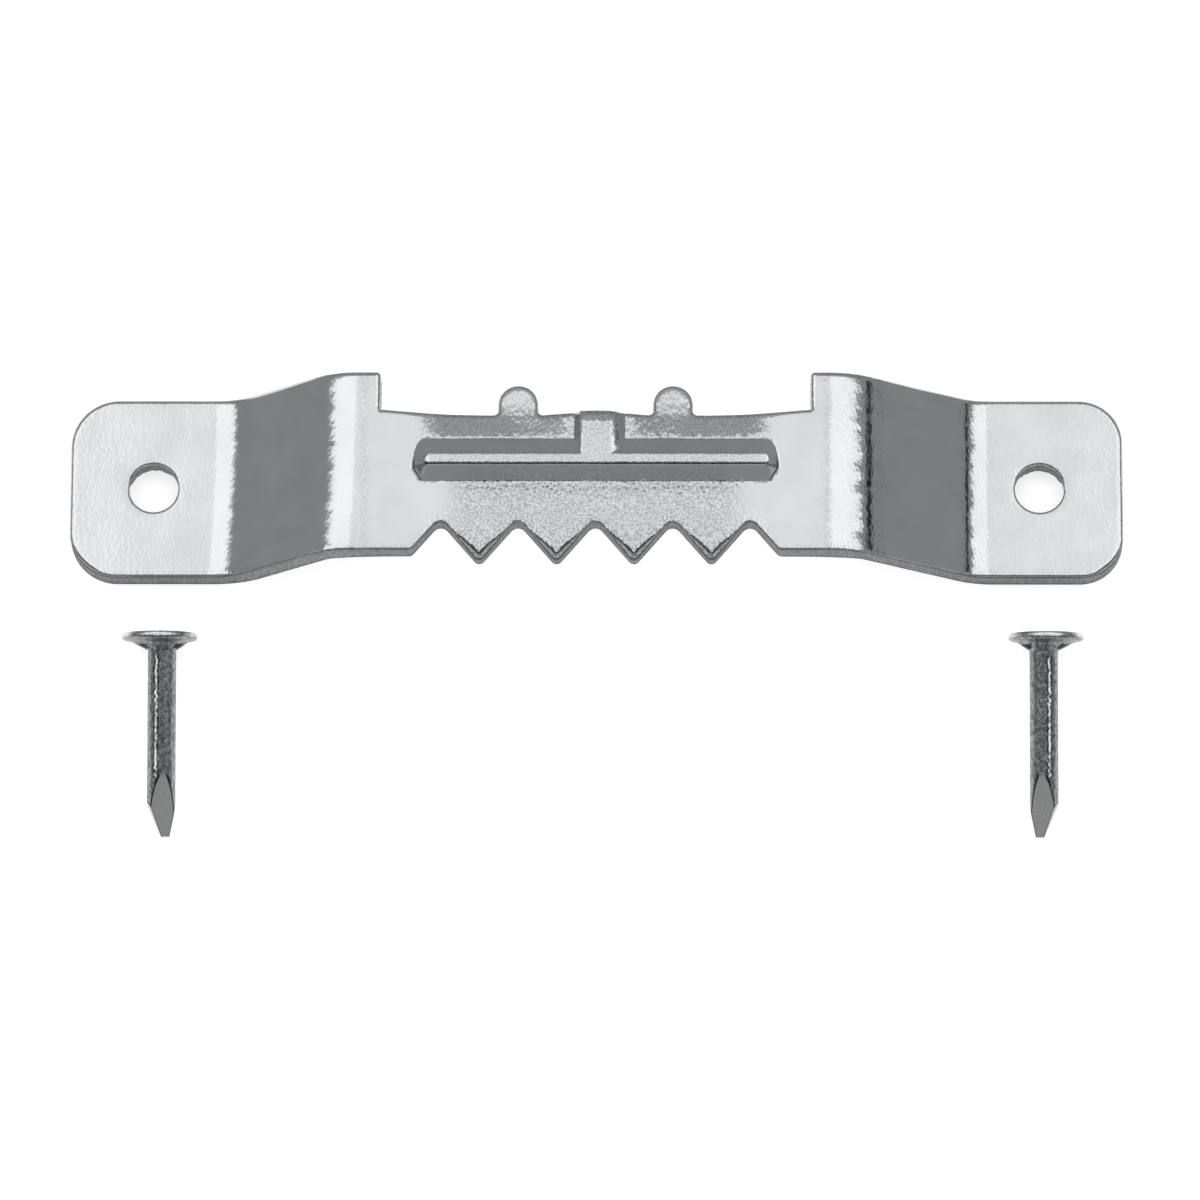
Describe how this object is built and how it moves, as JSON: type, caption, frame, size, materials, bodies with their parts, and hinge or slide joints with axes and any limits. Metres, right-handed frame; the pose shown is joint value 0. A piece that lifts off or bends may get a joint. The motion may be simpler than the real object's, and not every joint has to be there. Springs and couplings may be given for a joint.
{
  "type": "sawtooth picture hanger",
  "caption": "Stamped steel sawtooth picture hanger: flat nailing tabs, a raised bridge with saw teeth and an embossed rib, and its two flat-headed wire nails.",
  "frame": {"origin": "midway between the two nail holes, on the back faces of the tabs, which lie against the picture frame", "axes": "+X along the plate towards the right tab, +Y across the plate from the saw teeth towards the upper edge, +Z away from the picture frame"},
  "size_m": [0.045, 0.0191, 0.0056],
  "materials": {
    "zinc_plate": "bright zinc plating on pressed sheet steel, fine grain, rolled front edges and torn cut walls",
    "nail_steel": "plain drawn wire with a dull, slightly oxidised skin and brighter worn edges"
  },
  "bodies": {
    "plate": {"sawtooth_plate": "zinc_plate"},
    "nail_left": {"left_nail": "nail_steel"},
    "nail_right": {"right_nail": "nail_steel"}
  },
  "joints": [
    {"name": "left_nail_lift", "type": "slide", "parent": "plate", "child": "nail_left", "axis": [0, 0, 1], "range_m": [0, 0.02]},
    {"name": "right_nail_lift", "type": "slide", "parent": "plate", "child": "nail_right", "axis": [0, 0, 1], "range_m": [0, 0.02]}
  ]
}
